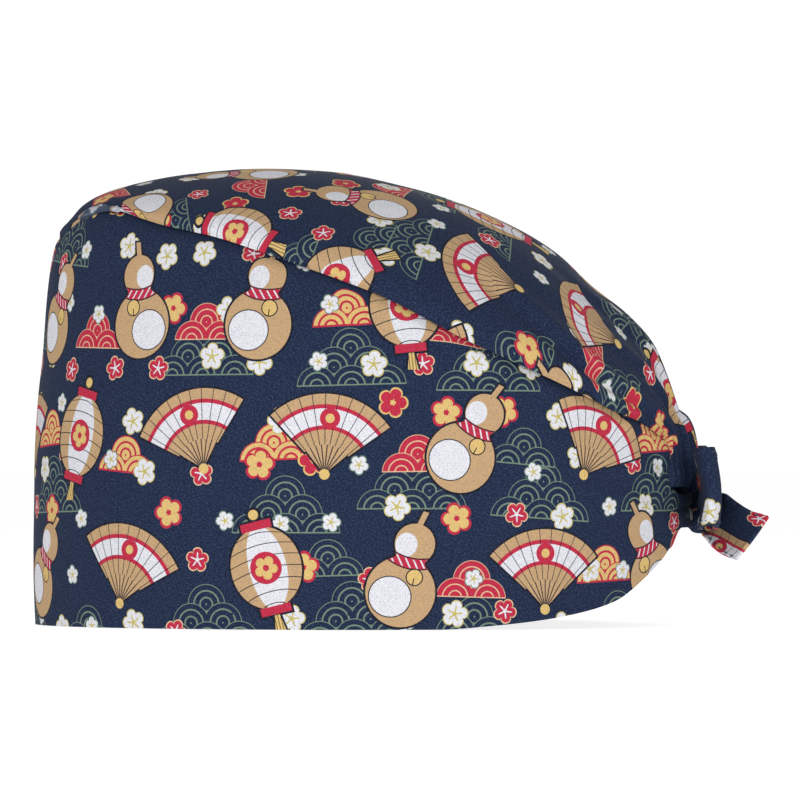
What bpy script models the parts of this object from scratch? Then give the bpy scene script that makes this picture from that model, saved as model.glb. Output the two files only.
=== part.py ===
# Surgical scrub cap of printed cotton, tied at the back in a cloth bow, standing on its rim.
# Metres, +Z up. The front of the cap faces -X, the bow is at +X, the wearer's left is -Y.
# A place on the cap is first worked out from its front: s runs back along the cap, y across
# it and z up. At the end the whole assembly is moved so that the origin is under its middle.
import math

import bmesh
import bpy
from mathutils import Vector

# Sizes of the cap
CAP_LENGTH = 0.217
CAP_WIDTH = 0.170
CAP_HEIGHT = 0.149
CLOTH_WALL = 0.0015
SEAM_GAP = 0.0003

# Sizes of the gathered back
CASING_HEIGHT = 0.0130
CASING_BASE = 0.0318
CASING_WALL = 0.0018
PLEAT_DEPTH = 0.0012
PLEAT_COUNT = 9

# Sizes of the ties and the bow
TIE_WALL = 0.0018
RIBBON_WIDTH = 0.0254
RIBBON_WALL = 0.0014
KNOT_DEPTH = 0.0090
KNOT_WIDTH = 0.0130
KNOT_HEIGHT = 0.0150
LOOP_REACH = 0.0360
LOOP_DEPTH = 0.0098
TAIL_LENGTH = 0.0240
BOW_CLEARANCE = 0.0004

# Angles round the cap, in degrees from the middle of its front
CROWN_CORNER = 29.0
FRONT_EDGE_REACH = 24.0
GATHER_START = 100.0
PANEL_END = 155.4
CASING_END = 156.9
LOBE_END = 163.5

# Depth of the gathers at the crown's last seam row and along the casing, as shares
SEAM_GATHER = 0.75
CASING_GATHER = 0.5

# Height at which the wall starts to turn in, as a share of the cap's height
TURN_START = 0.35

# How far the ties' upper edge is drawn below the casing's top, as a share of its height
TIE_DRAW = 0.12

# Squareness of the knot: 1 is an ellipsoid, and a lower value is closer to a block
KNOT_SHAPE = 0.7

# How many faces each sheet is divided into
FRONT_COLUMNS = 14
SIDE_COLUMNS = 21
PANEL_ROWS = 10
CROWN_COLUMNS = 24
CROWN_REAR_ROWS = 6
TIE_COLUMNS = 11
BAND_ROWS = 3
CASING_COLUMNS = 24
LOOP_ROWS = 28
TAIL_ROWS = 9
RIBBON_COLUMNS = 4
KNOT_SIDES = 16
KNOT_RINGS = 10

# Upright section of the side panel. Columns: height as a share of the cap's height, how far
# the front leans back as a share of the length, width as a share of the widest width.
PANEL_SECTIONS = (
    (0.00, 0.0035, 0.965),
    (0.18, 0.0000, 0.988),
    (0.34, 0.0012, 1.000),
    (0.49, 0.0060, 0.982),
    (0.60, 0.0140, 0.945),
    (0.71, 0.0205, 0.880),
    (0.79, 0.0275, 0.815),
    (0.85, 0.0385, 0.755),
    (0.92, 0.0570, 0.665),
    (1.00, 0.0900, 0.500),
)

# Lower edge of the side panel. Columns: angle, height as a share of the cap's height.
HEM_LINE = (
    (0.0, 0.000),
    (103.0, 0.000),
    (112.0, 0.007),
    (122.0, 0.019),
    (131.0, 0.036),
    (138.5, 0.058),
    (145.5, 0.096),
    (152.3, 0.142),
    (158.0, 0.187),
    (163.5, 0.213),
)

# Seam between the side panel and the crown. Columns: angle, height as a share.
SEAM_LINE = (
    (0.0, 0.851),
    (14.0, 0.868),
    (24.0, 0.900),
    (29.0, 0.918),
    (36.0, 0.907),
    (50.0, 0.873),
    (62.0, 0.847),
    (75.0, 0.799),
    (93.0, 0.718),
    (108.5, 0.619),
    (126.3, 0.527),
    (138.5, 0.470),
    (148.0, 0.440),
    (155.4, 0.410),
)

# Rows of the crown, from the front to the gathered back. Columns: angle of the row's ends on
# the seam, then the middle of the row as shares of the cap's length and height.
CROWN_LINE = (
    (29.0, 0.0385, 0.851),
    (32.5, 0.053, 0.881),
    (36.0, 0.074, 0.919),
    (41.0, 0.106, 0.947),
    (48.0, 0.160, 0.970),
    (57.0, 0.235, 0.988),
    (68.0, 0.344, 1.000),
    (80.0, 0.454, 0.993),
    (91.0, 0.562, 0.964),
    (101.0, 0.643, 0.928),
    (111.5, 0.724, 0.877),
    (121.0, 0.790, 0.816),
    (129.5, 0.845, 0.742),
    (137.0, 0.899, 0.675),
    (144.0, 0.937, 0.608),
    (150.0, 0.957, 0.535),
    (155.4, 0.970, 0.470),
)

# The crown's gathered end, down the rear edge of the side panel. Columns: share of the way
# down to the casing, then the middle of the row as shares of the cap's length and height.
PUFF_LINE = (
    (0.00, 0.970, 0.470),
    (0.18, 0.983, 0.454),
    (0.38, 0.992, 0.424),
    (0.62, 0.996, 0.380),
    (0.85, 0.991, 0.335),
    (1.00, 0.980, 0.304),
)

# Front and back layers of a bow loop. Columns: way round the loop, reach out from the knot as
# a share of the loop's reach, place between front and back as a share of the loop's depth,
# rise and ribbon height as shares of the ribbon's width, and lean of the ribbon in degrees.
LOOP_PATH = (
    (0.00, 0.00, -0.20, 0.00, 0.48, 0.0),
    (0.10, 0.20, -0.24, 0.05, 0.62, 2.0),
    (0.22, 0.45, -0.34, 0.15, 0.86, 5.0),
    (0.34, 0.72, -0.46, 0.23, 0.98, 7.0),
    (0.44, 0.93, -0.38, 0.27, 1.00, 7.0),
    (0.50, 1.00, -0.02, 0.28, 1.00, 7.0),
    (0.56, 0.93, 0.36, 0.28, 1.00, 7.0),
    (0.66, 0.72, 0.46, 0.24, 0.98, 6.0),
    (0.78, 0.45, 0.40, 0.15, 0.86, 4.0),
    (0.90, 0.20, 0.30, 0.05, 0.62, 2.0),
    (1.00, 0.00, 0.22, 0.00, 0.48, 0.0),
)

# Free end of a tie, from under the knot out, back and down. Columns: way along the tail,
# then its lower edge's reach out, back and up as shares of the tail's length, the ribbon's
# height as a share of its width, the tilts of its upper edge back and outwards in degrees,
# and its hollow as a share of the ribbon's width.
TAIL_PATH = (
    (0.00, 0.146, -0.033, 0.000, 0.21, 86.0, 0.0, 0.00),
    (0.25, 0.375, 0.010, -0.058, 0.62, 28.0, 4.0, 0.10),
    (0.50, 0.583, 0.125, -0.171, 0.67, 25.0, -2.0, 0.10),
    (0.75, 0.771, 0.265, -0.246, 0.70, 29.0, -5.0, 0.11),
    (1.00, 0.917, 0.395, -0.288, 0.70, 35.0, -6.0, 0.10),
)

NEAR_SIDE = -1.0
FAR_SIDE = 1.0

HALF_LENGTH = CAP_LENGTH / 2
HALF_WIDTH = CAP_WIDTH / 2
KNOT_MIDDLE_Z = CASING_BASE + CASING_HEIGHT / 2


def table_slope(rows, index, column):
    """Slope of one column at one row, flat at a peak so that the curve never overshoots."""
    def secant(first):
        rise = rows[first + 1][column] - rows[first][column]
        return rise / (rows[first + 1][0] - rows[first][0])

    if index == 0:
        return secant(0)
    if index == len(rows) - 1:
        return secant(index - 1)
    before, after = secant(index - 1), secant(index)
    if before * after <= 0:
        return 0.0
    return 2 * before * after / (before + after)


def read_table(rows, key):
    """The other columns of a table at one value of its first column, on smooth curves."""
    key = min(max(key, rows[0][0]), rows[-1][0])
    index = 0
    while index < len(rows) - 2 and key > rows[index + 1][0]:
        index += 1
    start, end = rows[index], rows[index + 1]
    span = end[0] - start[0]
    t = (key - start[0]) / span
    values = []
    for column in range(1, len(start)):
        leave = table_slope(rows, index, column) * span
        arrive = table_slope(rows, index + 1, column) * span
        values.append(
            (2 * t**3 - 3 * t**2 + 1) * start[column]
            + (t**3 - 2 * t**2 + t) * leave
            + (3 * t**2 - 2 * t**3) * end[column]
            + (t**3 - t**2) * arrive
        )
    return values


def steps(first, last, count):
    """Evenly spaced values from first to last."""
    return [first + (last - first) * index / count for index in range(count + 1)]


def hem_height(angle):
    """Height of the side panel's lower edge at an angle."""
    return read_table(HEM_LINE, abs(angle))[0] * CAP_HEIGHT


def seam_height(angle):
    """Height of the seam between side panel and crown at an angle."""
    return read_table(SEAM_LINE, abs(angle))[0] * CAP_HEIGHT


def wall_point(angle, height):
    """A point on the outer face of the upright wall."""
    lean, width = read_table(PANEL_SECTIONS, height / CAP_HEIGHT)
    turn = math.radians(angle)
    front_share = (1 + math.cos(turn)) / 2
    reach = HALF_LENGTH - lean * CAP_LENGTH * front_share
    s = HALF_LENGTH - reach * math.cos(turn)
    y = width * HALF_WIDTH * math.sin(turn)
    return Vector((s, y, height))


def outward(point):
    """Direction out of the cap at a point: level at the wall's foot, turning up to the top."""
    turn_height = TURN_START * CAP_HEIGHT
    rise = max(0.0, point.z - turn_height)
    slope = Vector((
        (point.x - HALF_LENGTH) / HALF_LENGTH**2,
        point.y / HALF_WIDTH**2,
        rise / (CAP_HEIGHT - turn_height)**2,
    ))
    return slope.normalized()


def side_angles():
    """Angles of the side panel's columns, closer together round the crown's front corners."""
    left = steps(-PANEL_END, -CROWN_CORNER, SIDE_COLUMNS)
    front = steps(-CROWN_CORNER, CROWN_CORNER, FRONT_COLUMNS)
    right = steps(CROWN_CORNER, PANEL_END, SIDE_COLUMNS)
    return left + front[1:-1] + right


def side_panel_rows():
    """Outer face of the side panel, from the lower edge up to the seam."""
    rows = []
    for share in steps(0.0, 1.0, PANEL_ROWS):
        row = []
        for angle in side_angles():
            low = hem_height(angle)
            high = seam_height(angle) - SEAM_GAP / 2
            row.append(wall_point(angle, low + (high - low) * share))
        rows.append(row)
    return rows


def crown_arc(end, middle, across):
    """A point on a crown row: across runs from -1 at the near seam to 1 at the far seam."""
    turn = across * math.pi / 2
    rise = (math.cos(turn) + math.cos(turn)**2) / 2
    s = end.x + (middle.x - end.x) * rise
    z = end.z + (middle.z - end.z) * rise
    return Vector((s, abs(end.y) * math.sin(turn), z))


def front_edge_offset(across):
    """How far the crown's straight front edge lies from the arc through its two corners."""
    angle = CROWN_CORNER * across
    edge = wall_point(angle, seam_height(angle))
    corner = wall_point(CROWN_CORNER, seam_height(CROWN_CORNER))
    middle = wall_point(0.0, seam_height(0.0))
    return edge - crown_arc(corner, middle, across)


def pleat(across, strength):
    """Depth of the gathers at a place across the gathered back."""
    fade = math.cos(across * math.pi / 2)**0.5 if abs(across) < 1 else 0.0
    return PLEAT_DEPTH * strength * fade * math.cos(across * math.pi * PLEAT_COUNT)


def crown_rows():
    """Outer face of the crown, from its front edge over the top and down to the casing."""
    casing_top = CASING_BASE + CASING_HEIGHT
    ends = []
    for angle in steps(CROWN_CORNER, PANEL_END, SIDE_COLUMNS):
        s_share, z_share = read_table(CROWN_LINE, angle)
        end = wall_point(angle, seam_height(angle))
        middle = Vector((s_share * CAP_LENGTH, 0.0, z_share * CAP_HEIGHT))
        front_weight = max(0.0, 1 - (angle - CROWN_CORNER) / FRONT_EDGE_REACH)**2
        gather = max(0.0, (angle - GATHER_START) / (PANEL_END - GATHER_START))**2
        ends.append((end, middle, front_weight, SEAM_GATHER * gather))
    for share in steps(0.0, 1.0, CROWN_REAR_ROWS)[1:]:
        s_share, z_share = read_table(PUFF_LINE, share)
        top = seam_height(PANEL_END)
        end = wall_point(PANEL_END, top + (casing_top + SEAM_GAP - top) * share)
        middle = Vector((s_share * CAP_LENGTH, 0.0, z_share * CAP_HEIGHT))
        if share == 1.0:
            middle.z = end.z
        ends.append((end, middle, 0.0, SEAM_GATHER + (1 - SEAM_GATHER) * share))

    rows = []
    for end, middle, front_weight, gather in ends:
        row = []
        for across in steps(-1.0, 1.0, CROWN_COLUMNS):
            point = crown_arc(end, middle, across)
            point += front_edge_offset(across) * front_weight
            point += outward(point) * pleat(across, gather)
            row.append(point)
        rows.append(row)
    return rows


def clear_of_seam(rows):
    """Draws a crown's four edges back from the seam, so that the cloth stops short of it."""
    drawn = [[point.copy() for point in row] for row in rows]
    for row, source in zip(drawn, rows):
        row[0] += (source[1] - source[0]).normalized() * SEAM_GAP
        row[-1] += (source[-2] - source[-1]).normalized() * SEAM_GAP
    for index in range(len(rows[0])):
        drawn[0][index] += (rows[1][index] - rows[0][index]).normalized() * SEAM_GAP
    return drawn


def inner_rows(rows, wall):
    """The inner face of a sheet of the cap, one wall inside its outer face."""
    return [[point - outward(point) * wall for point in row] for row in rows]


def casing_rows():
    """Outer face of the gathered casing, which runs inside the ties across the back."""
    inset = TIE_WALL + SEAM_GAP
    rows = []
    for share in steps(0.0, 1.0, BAND_ROWS):
        height = CASING_BASE + CASING_HEIGHT * share
        row = []
        for angle in steps(CASING_END, 360 - CASING_END, CASING_COLUMNS):
            across = (angle - 180) / (180 - CASING_END)
            point = wall_point(angle, height)
            point -= outward(point) * (inset + PLEAT_DEPTH - pleat(across, CASING_GATHER))
            row.append(point)
        rows.append(row)
    return rows


def tie_rows(side):
    """Outer face of a tie, from its root on the side panel to the knot."""
    knot_angle = 180 - math.degrees(math.asin((KNOT_WIDTH / 2 + BOW_CLEARANCE) / HALF_WIDTH))
    root_low = hem_height(PANEL_END)
    root_high = CASING_BASE + CASING_HEIGHT - SEAM_GAP
    rows = []
    for share in steps(0.0, 1.0, BAND_ROWS):
        row = []
        for angle in steps(PANEL_END, knot_angle, TIE_COLUMNS):
            drawn = min(1.0, (angle - PANEL_END) / (LOBE_END - PANEL_END))
            drawn = drawn * drawn * (3 - 2 * drawn)
            low = root_low + (CASING_BASE - root_low) * drawn
            high = root_high - TIE_DRAW * CASING_HEIGHT * drawn
            row.append(wall_point(side * angle, low + (high - low) * share))
        rows.append(row)
    for row in rows:
        row[0] += (row[1] - row[0]).normalized() * SEAM_GAP
    return rows


def knot_middle():
    """Middle of the knot, just behind the casing."""
    casing_back = CAP_LENGTH - TIE_WALL
    return Vector((casing_back + BOW_CLEARANCE + KNOT_DEPTH / 2, 0.0, KNOT_MIDDLE_Z))


def ribbon_section(middle, up, across_out, cup):
    """Points across a ribbon: up is its height as a vector, cup bows it to one side."""
    points = []
    for share in steps(-0.5, 0.5, RIBBON_COLUMNS):
        bow = cup * (1 - 4 * share * share)
        points.append(middle + up * share + across_out * bow)
    return points


def loop_rows(side):
    """Middle surface of a bow loop, out from the knot, round its end and back."""
    base = knot_middle()
    rows = []
    for way in steps(0.0, 1.0, LOOP_ROWS):
        out, back, rise, height, lean = read_table(LOOP_PATH, way)
        middle = base + Vector((
            back * LOOP_DEPTH,
            side * (KNOT_WIDTH / 2 + BOW_CLEARANCE + out * LOOP_REACH),
            rise * RIBBON_WIDTH,
        ))
        tilt = math.radians(lean)
        up = Vector((-math.sin(tilt), 0.0, math.cos(tilt))) * height * RIBBON_WIDTH
        rows.append(ribbon_section(middle, up, Vector(), 0.0))
    return rows


def tail_rows(side):
    """Middle surface of a tie's free end, from under the knot out, back and down."""
    base = knot_middle()
    base.z -= KNOT_HEIGHT / 2 + BOW_CLEARANCE + RIBBON_WALL / 2
    rows = []
    for way in steps(0.0, 1.0, TAIL_ROWS):
        out, back, rise, height, tilt_back, tilt_out, hollow = read_table(TAIL_PATH, way)
        lower_edge = base + Vector((back, side * out, rise)) * TAIL_LENGTH
        lean, sway = math.radians(tilt_back), math.radians(tilt_out)
        up = Vector((
            math.sin(lean),
            side * math.sin(sway) * math.cos(lean),
            math.cos(sway) * math.cos(lean),
        ))
        below = Vector((math.cos(lean), 0.0, -math.sin(lean)))
        up *= height * RIBBON_WIDTH
        rows.append(ribbon_section(lower_edge + up / 2, up, below, hollow * RIBBON_WIDTH))
    return rows


def surface_normal(rows, i, j):
    """Direction square to a grid of points at one of its points."""
    along = rows[min(i + 1, len(rows) - 1)][j] - rows[max(i - 1, 0)][j]
    across = rows[i][min(j + 1, len(rows[0]) - 1)] - rows[i][max(j - 1, 0)]
    return along.cross(across).normalized()


def both_faces(rows, wall):
    """The two faces of a ribbon, half a wall to each side of its middle surface."""
    front, back = [], []
    for i, row in enumerate(rows):
        offsets = [surface_normal(rows, i, j) * wall / 2 for j in range(len(row))]
        front.append([point + offset for point, offset in zip(row, offsets)])
        back.append([point - offset for point, offset in zip(row, offsets)])
    return front, back


def principled(name, color, roughness):
    """A plain cloth material."""
    material = bpy.data.materials.new(name)
    material.use_nodes = True
    shader = material.node_tree.nodes["Principled BSDF"]
    shader.inputs["Base Color"].default_value = (*color, 1.0)
    shader.inputs["Roughness"].default_value = roughness
    shader.inputs["Metallic"].default_value = 0.0
    return material


def finish_object(name, mesh_data, material):
    """Turns a bmesh into a named object with its faces pointing out."""
    bmesh.ops.recalc_face_normals(mesh_data, faces=mesh_data.faces)
    mesh = bpy.data.meshes.new(name)
    mesh_data.to_mesh(mesh)
    mesh_data.free()
    mesh.materials.append(material)
    piece = bpy.data.objects.new(name, mesh)
    bpy.context.scene.collection.objects.link(piece)
    return piece


def cloth_solid(name, outer, inner, material):
    """A closed sheet between two grids of points that have the same rows and columns."""
    data = bmesh.new()
    faces = [[[data.verts.new(point) for point in row] for row in grid] for grid in (outer, inner)]
    row_count, column_count = len(outer), len(outer[0])
    for i in range(row_count - 1):
        for j in range(column_count - 1):
            for side in faces:
                data.faces.new((side[i][j], side[i][j + 1], side[i + 1][j + 1], side[i + 1][j]))
    top, bottom = faces
    border = [(0, j) for j in range(column_count)]
    border += [(i, column_count - 1) for i in range(1, row_count)]
    border += [(row_count - 1, j) for j in range(column_count - 2, -1, -1)]
    border += [(i, 0) for i in range(row_count - 2, 0, -1)]
    for (i, j), (k, m) in zip(border, border[1:] + border[:1]):
        data.faces.new((top[i][j], top[k][m], bottom[k][m], bottom[i][j]))
    return finish_object(name, data, material)


def make_side_panel(material):
    """The band round the front and both sides, open at the back."""
    outer = side_panel_rows()
    return cloth_solid("side_panel", outer, inner_rows(outer, CLOTH_WALL), material)


def make_crown_panel(material):
    """The strip over the top, gathered at its rear end."""
    outer = clear_of_seam(crown_rows())
    return cloth_solid("crown_panel", outer, inner_rows(outer, CLOTH_WALL), material)


def make_back_casing(material):
    """The gathered casing under the crown's rear end."""
    outer = casing_rows()
    return cloth_solid("back_casing", outer, inner_rows(outer, CASING_WALL), material)


def make_tie(name, side, material):
    """One tie, drawn together from the side panel's lower rear corner."""
    outer = tie_rows(side)
    return cloth_solid(name, outer, inner_rows(outer, TIE_WALL), material)


def make_ribbon(name, rows, material):
    """One stretch of the bow's ribbon."""
    front, back = both_faces(rows, RIBBON_WALL)
    return cloth_solid(name, front, back, material)


def make_bow_knot(material):
    """The knot: a rounded block of wrapped ribbon."""
    data = bmesh.new()
    bmesh.ops.create_uvsphere(data, u_segments=KNOT_SIDES, v_segments=KNOT_RINGS, radius=1.0)
    half_sizes = (KNOT_DEPTH / 2, KNOT_WIDTH / 2, KNOT_HEIGHT / 2)
    base = knot_middle()
    for vertex in data.verts:
        shaped = [
            math.copysign(abs(value)**KNOT_SHAPE, value) * half
            for value, half in zip(vertex.co, half_sizes)
        ]
        largest = [abs(value) / half for value, half in zip(shaped, half_sizes)]
        limit = max(1.0, max(largest))
        vertex.co = base + Vector(shaped) / limit
    return finish_object("bow_knot", data, material)


def stand_over_origin(pieces):
    """Moves the assembly, on one empty, so that the origin lies under its middle."""
    corners = [vertex.co for piece in pieces for vertex in piece.data.vertices]
    low = [min(corner[axis] for corner in corners) for axis in range(3)]
    high = [max(corner[axis] for corner in corners) for axis in range(3)]
    base = bpy.data.objects.new("cap_base", None)
    bpy.context.scene.collection.objects.link(base)
    base.location = (-(low[0] + high[0]) / 2, -(low[1] + high[1]) / 2, -low[2])
    for piece in pieces:
        piece.parent = base


def main():
    """Builds every piece of the cap."""
    for item in list(bpy.data.objects):
        bpy.data.objects.remove(item, do_unlink=True)

    cotton = principled("printed_cotton", (0.022, 0.037, 0.094), 0.85)
    lining = principled("casing_cotton", (0.020, 0.033, 0.082), 0.88)
    ribbon = principled("ribbon_cotton", (0.022, 0.037, 0.094), 0.82)

    pieces = [
        make_side_panel(cotton),
        make_crown_panel(cotton),
        make_back_casing(lining),
        make_bow_knot(ribbon),
    ]
    for word, side in (("left", NEAR_SIDE), ("right", FAR_SIDE)):
        pieces.append(make_tie("tie_" + word, side, ribbon))
        pieces.append(make_ribbon("bow_loop_" + word, loop_rows(side), ribbon))
        pieces.append(make_ribbon("bow_tail_" + word, tail_rows(side), ribbon))
    stand_over_origin(pieces)


main()
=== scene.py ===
import math

import bmesh
import bpy
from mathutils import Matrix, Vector


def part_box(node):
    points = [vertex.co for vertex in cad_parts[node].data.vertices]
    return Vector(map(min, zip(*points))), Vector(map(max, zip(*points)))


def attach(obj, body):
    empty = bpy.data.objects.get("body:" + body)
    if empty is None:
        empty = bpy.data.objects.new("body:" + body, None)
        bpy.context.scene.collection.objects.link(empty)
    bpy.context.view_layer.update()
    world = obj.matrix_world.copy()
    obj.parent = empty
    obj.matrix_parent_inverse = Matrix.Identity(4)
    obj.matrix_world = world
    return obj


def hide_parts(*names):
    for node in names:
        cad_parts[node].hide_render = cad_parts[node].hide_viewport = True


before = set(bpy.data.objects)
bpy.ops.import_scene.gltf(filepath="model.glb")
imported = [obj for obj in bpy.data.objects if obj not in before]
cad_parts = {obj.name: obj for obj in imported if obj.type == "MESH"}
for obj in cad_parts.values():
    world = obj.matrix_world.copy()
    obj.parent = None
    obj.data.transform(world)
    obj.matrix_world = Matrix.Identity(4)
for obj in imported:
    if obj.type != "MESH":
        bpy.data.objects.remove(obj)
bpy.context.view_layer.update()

# Sizes of the cap, as on the frame
CAP_LENGTH = 0.217
CAP_WIDTH = 0.170
CAP_HEIGHT = 0.149
SEAM_GAP = 0.0003
CASING_HEIGHT = 0.0130
CASING_BASE = 0.0318
PLEAT_DEPTH = 0.0012
PLEAT_COUNT = 9
TIE_WALL = 0.0018
RIBBON_WIDTH = 0.0254
RIBBON_WALL = 0.0014
KNOT_DEPTH = 0.0090
KNOT_WIDTH = 0.0130
KNOT_HEIGHT = 0.0150
LOOP_REACH = 0.0360
LOOP_DEPTH = 0.0066
TAIL_LENGTH = 0.0240
BOW_CLEARANCE = 0.0004

# Angles round the cap, in degrees from the middle of its front
CROWN_CORNER = 29.0
FRONT_EDGE_REACH = 24.0
GATHER_START = 100.0
PANEL_END = 155.4
CASING_END = 156.9
LOBE_END = 163.5

# Shares that shape the gathers, the wall's turn inwards, the ties and the knot
SEAM_GATHER = 0.75
CASING_GATHER = 0.5
TURN_START = 0.35
TIE_DRAW = 0.12
KNOT_SHAPE = 0.7

# Thickness of the cloth as it shows at its edges
SINGLE_CLOTH = 0.0009
FOLDED_CLOTH = 0.0013

# How far the front layer of a loop is pushed in halfway up, how far a loop's ribbon is cupped
# backwards between its edges, and how far its edges stand in front of the knot's middle
LOOP_DENT = 0.0018
LOOP_CUP = 0.0014
LOOP_EDGES_FORWARD = 0.0006

# How far the gathered end of the crown swells just above the casing, the depth and number of
# the finer gathers there, and how far the casing is tucked up under it
PUFF_SWELL = 0.0018
FINE_PLEAT_DEPTH = 0.0009
FINE_PLEAT_COUNT = 17
CASING_TUCK = 0.0012

# How far each side of the seam sinks into the cap and over what width, how far the crown
# swells beside it, and the depth and reach of its puckers and where they reach full depth
PANEL_DIP = 0.0019
PANEL_DIP_WIDTH = 0.0020
CROWN_DIP = 0.0005
CROWN_DIP_WIDTH = 0.0008
CROWN_SWELL = 0.0009
SWELL_REACH = 0.0080
PUCKER_DEPTH = 0.00060
PUCKER_REACH = 0.0120
PUCKER_START = 0.002

# Crease across each front corner of the crown: depth, distance from the front seam, width
CREASE_DEPTH = 0.0006
CREASE_PLACE = 0.0050
CREASE_WIDTH = 0.0022

# Depth of the slow unevenness of the side panel's and the crown's cloth, and of the casing's
# hems
PANEL_SLACK = 0.00045
CROWN_SLACK = 0.0005
HEM_RIDGE = 0.0004

# How far the side panel runs on under the crown at the seam, the share of the seam's depth
# that is left across the front, and the angles between which it deepens
SEAM_LAP = 0.0012
FRONT_SEAM_SHARE = 0.25
SEAM_DEEPENS = (20.0, 42.0)

# Height where the girth of the side panel's flat cut is measured, as a share of the cap's
# height, and the number of columns of the side panel's sheet
GIRTH_HEIGHT = 0.34
PANEL_COLUMNS = 320

# Rounding of the folded cloth's edges, and the topstitching of the bow
FOLD_ROUNDING = 0.00035
STITCH_LENGTH = 0.0021
STITCH_GAP = 0.0011
THREAD_RADIUS = 0.00022

# Upright section of the side panel. Columns: height as a share of the cap's height, how far
# the front leans back as a share of the length, width as a share of the widest width.
PANEL_SECTIONS = (
    (0.00, 0.0035, 0.965),
    (0.18, 0.0000, 0.988),
    (0.34, 0.0012, 1.000),
    (0.49, 0.0060, 0.982),
    (0.60, 0.0140, 0.945),
    (0.71, 0.0205, 0.880),
    (0.79, 0.0275, 0.815),
    (0.85, 0.0385, 0.755),
    (0.92, 0.0570, 0.665),
    (1.00, 0.0900, 0.500),
)

# Lower edge of the side panel. Columns: angle, height as a share of the cap's height.
HEM_LINE = (
    (0.0, 0.000),
    (103.0, 0.000),
    (112.0, 0.007),
    (122.0, 0.019),
    (131.0, 0.036),
    (138.5, 0.058),
    (145.5, 0.096),
    (152.3, 0.142),
    (158.0, 0.187),
    (163.5, 0.213),
)

# Seam between the side panel and the crown. Columns: angle, height as a share.
SEAM_LINE = (
    (0.0, 0.851),
    (14.0, 0.868),
    (24.0, 0.900),
    (29.0, 0.918),
    (36.0, 0.907),
    (50.0, 0.873),
    (62.0, 0.847),
    (75.0, 0.799),
    (93.0, 0.718),
    (108.5, 0.619),
    (126.3, 0.527),
    (138.5, 0.470),
    (148.0, 0.440),
    (155.4, 0.410),
)

# Rows of the crown, from the front to the gathered back. Columns: angle of the row's ends on
# the seam, then the middle of the row as shares of the cap's length and height.
CROWN_LINE = (
    (29.0, 0.0385, 0.851),
    (32.5, 0.053, 0.881),
    (36.0, 0.074, 0.919),
    (41.0, 0.106, 0.947),
    (48.0, 0.160, 0.970),
    (57.0, 0.235, 0.988),
    (68.0, 0.344, 1.000),
    (80.0, 0.454, 0.993),
    (91.0, 0.562, 0.964),
    (101.0, 0.643, 0.928),
    (111.5, 0.724, 0.877),
    (121.0, 0.790, 0.816),
    (129.5, 0.845, 0.742),
    (137.0, 0.899, 0.675),
    (144.0, 0.937, 0.608),
    (150.0, 0.957, 0.535),
    (155.4, 0.970, 0.470),
)

# The crown's gathered end, down the rear edge of the side panel. Columns: share of the way
# down to the casing, then the middle of the row as shares of the cap's length and height.
PUFF_LINE = (
    (0.00, 0.970, 0.470),
    (0.18, 0.983, 0.454),
    (0.38, 0.992, 0.424),
    (0.62, 0.996, 0.380),
    (0.85, 0.991, 0.335),
    (1.00, 0.980, 0.304),
)

# Front and back layers of a bow loop. Columns: way round the loop, reach out from the knot as
# a share of the loop's reach, place between front and back as a share of the loop's depth,
# rise and ribbon height as shares of the ribbon's width, and lean of the ribbon in degrees.
LOOP_PATH = (
    (0.00, 0.00, -0.20, 0.00, 0.48, 0.0),
    (0.10, 0.20, -0.24, 0.05, 0.62, 1.0),
    (0.22, 0.45, -0.34, 0.15, 0.86, 1.5),
    (0.34, 0.72, -0.46, 0.23, 0.98, 1.8),
    (0.44, 0.93, -0.38, 0.27, 1.00, 1.8),
    (0.50, 1.00, -0.02, 0.28, 1.00, 1.8),
    (0.56, 0.93, 0.36, 0.28, 1.00, 1.8),
    (0.66, 0.72, 0.46, 0.24, 0.98, 1.8),
    (0.78, 0.45, 0.40, 0.15, 0.86, 1.5),
    (0.90, 0.20, 0.30, 0.05, 0.62, 1.0),
    (1.00, 0.00, 0.22, 0.00, 0.48, 0.0),
)

# Free end of a tie, from under the knot out, back and down. Columns: way along the tail,
# then its lower edge's reach out, back and up as shares of the tail's length, the ribbon's
# height as a share of its width, the tilts of its upper edge back and outwards in degrees,
# and its hollow as a share of the ribbon's width.
TAIL_PATH = (
    (0.00, 0.146, -0.033, 0.000, 0.21, 86.0, 0.0, 0.00),
    (0.25, 0.375, 0.012, -0.062, 0.62, 22.0, 4.0, 0.10),
    (0.50, 0.583, 0.115, -0.190, 0.66, 24.5, -2.0, 0.10),
    (0.75, 0.771, 0.262, -0.298, 0.67, 31.0, -5.0, 0.11),
    (1.00, 0.917, 0.403, -0.357, 0.70, 36.7, -6.0, 0.10),
)

# Soft folds pressed into the crown. Columns: angle of the row where the fold starts and where
# it ends, place across there from -1 to 1, depth in metres, width as a share of half the row.
CROWN_FOLDS = (
    (108.0, 132.0, -0.60, -0.80, 0.0017, 0.045),
    (124.0, 150.0, -0.74, -0.86, 0.0018, 0.040),
    (112.0, 138.0, 0.52, 0.70, 0.0015, 0.050),
    (118.0, 146.0, -0.22, -0.34, 0.0009, 0.060),
    (120.0, 150.0, 0.14, 0.24, 0.0009, 0.060),
    (29.0, 36.0, -0.93, -0.97, 0.0010, 0.060),
    (29.0, 36.0, 0.93, 0.97, 0.0010, 0.060),
)

# Soft folds drawn in the side panel towards the ties. Columns: angle and height share where
# the fold starts, the same where it ends, depth in metres, width in metres.
PANEL_FOLDS = (
    (134.0, 0.330, 155.4, 0.262, 0.0016, 0.0040),
    (128.0, 0.230, 152.0, 0.212, 0.0009, 0.0050),
    (144.0, 0.400, 154.5, 0.330, 0.0010, 0.0030),
    (118.0, 0.120, 140.0, 0.110, 0.0007, 0.0060),
)

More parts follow.
